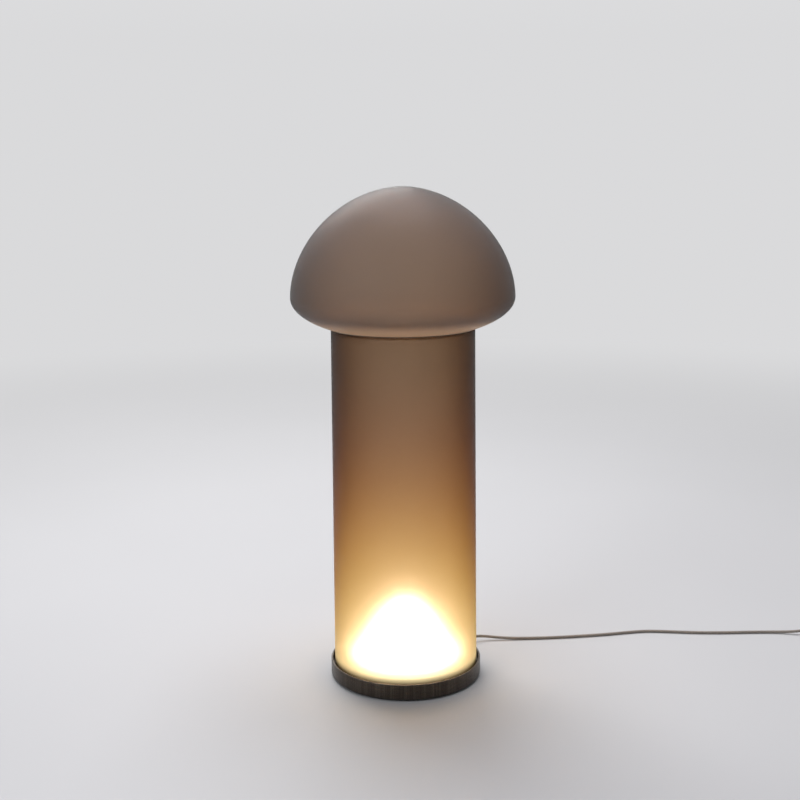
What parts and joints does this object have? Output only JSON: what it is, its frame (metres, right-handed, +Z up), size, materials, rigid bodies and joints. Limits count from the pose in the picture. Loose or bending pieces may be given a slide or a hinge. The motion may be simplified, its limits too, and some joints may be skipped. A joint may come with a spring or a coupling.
{
  "type": "mushroom floor lamp",
  "caption": "Mushroom floor lamp: a frosted smoky glass column under a domed glass cap, on a low steel cup base with the light source inside and a mains cord with a switch and a plug.",
  "frame": {"origin": "on the floor at the middle of the base", "axes": "+Z up along the column; the front faces -Y and the cord leaves the base behind and to the right, at 45 degrees between +X and +Y"},
  "size_m": [0.9193, 0.3332, 0.6522],
  "materials": {
    "smoked_glass": "frosted smoky amber glass",
    "brushed_steel": "brushed, fine vertical grain",
    "cast_iron": "painted dark grey",
    "silicone": "matt black",
    "white_tray": "matt white",
    "aluminium": "plain",
    "opal": "opal white, lit from inside",
    "led_board": "white solder mask",
    "led_chip": "yellow phosphor",
    "circuit_board": "green",
    "driver_plastic": "matt white",
    "component": "black",
    "screw_steel": "zinc plated",
    "brass": "plain",
    "nickel": "nickel plated",
    "cord_sheath": "light taupe grey",
    "core_sheath": "blue",
    "fitting_plastic": "light taupe grey",
    "tie": "black strap"
  },
  "bodies": {
    "base": {"foot_ring": "silicone", "base_cup": "brushed_steel", "base_screws": "screw_steel", "ballast_ring": "cast_iron", "tube_seat": "silicone", "light_tray": "white_tray", "tray_screws": "screw_steel", "heat_spreader": "aluminium", "spreader_screws": "screw_steel", "led_board": "led_board", "led_chips": "led_chip", "board_screws": "screw_steel", "diffuser_dome": "opal", "dome_retainer": "opal", "retainer_screws": "screw_steel", "driver_case": "driver_plastic", "driver_lid": "driver_plastic", "driver_board": "circuit_board", "driver_parts": "component", "driver_screws": "screw_steel", "terminal_block": "driver_plastic", "terminal_screws": "brass", "cord_clamp": "driver_plastic", "clamp_screws": "screw_steel", "cord_bushing": "fitting_plastic", "cord_tail": "cord_sheath", "supply_leads": "core_sheath", "led_leads": "core_sheath", "cord_lamp_side": "cord_sheath", "cord_switch_side": "cord_sheath", "cord_coil": "cord_sheath", "cord_plug_side": "cord_sheath", "coil_tie": "tie", "switch_base": "fitting_plastic", "switch_cover": "fitting_plastic", "switch_contacts": "brass", "switch_screws": "screw_steel", "plug_body": "fitting_plastic", "plug_pins": "nickel"},
    "column": {"glass_tube": "smoked_glass", "cap_seal": "silicone"},
    "cap": {"glass_cap": "smoked_glass"},
    "rocker": {"switch_rocker": "component"}
  },
  "joints": [
    {"name": "column_lift", "type": "slide", "parent": "base", "child": "column", "axis": [0, 0, 1], "range_m": [0, 0.12]},
    {"name": "cap_lift", "type": "slide", "parent": "column", "child": "cap", "axis": [0, 0, 1], "range_m": [0, 0.06]},
    {"name": "switch_rock", "type": "hinge", "parent": "base", "child": "rocker", "pos_m": [0.628, 0.112, 0.0154], "axis": [0, 1, 0], "range_deg": [-14, 0]}
  ]
}
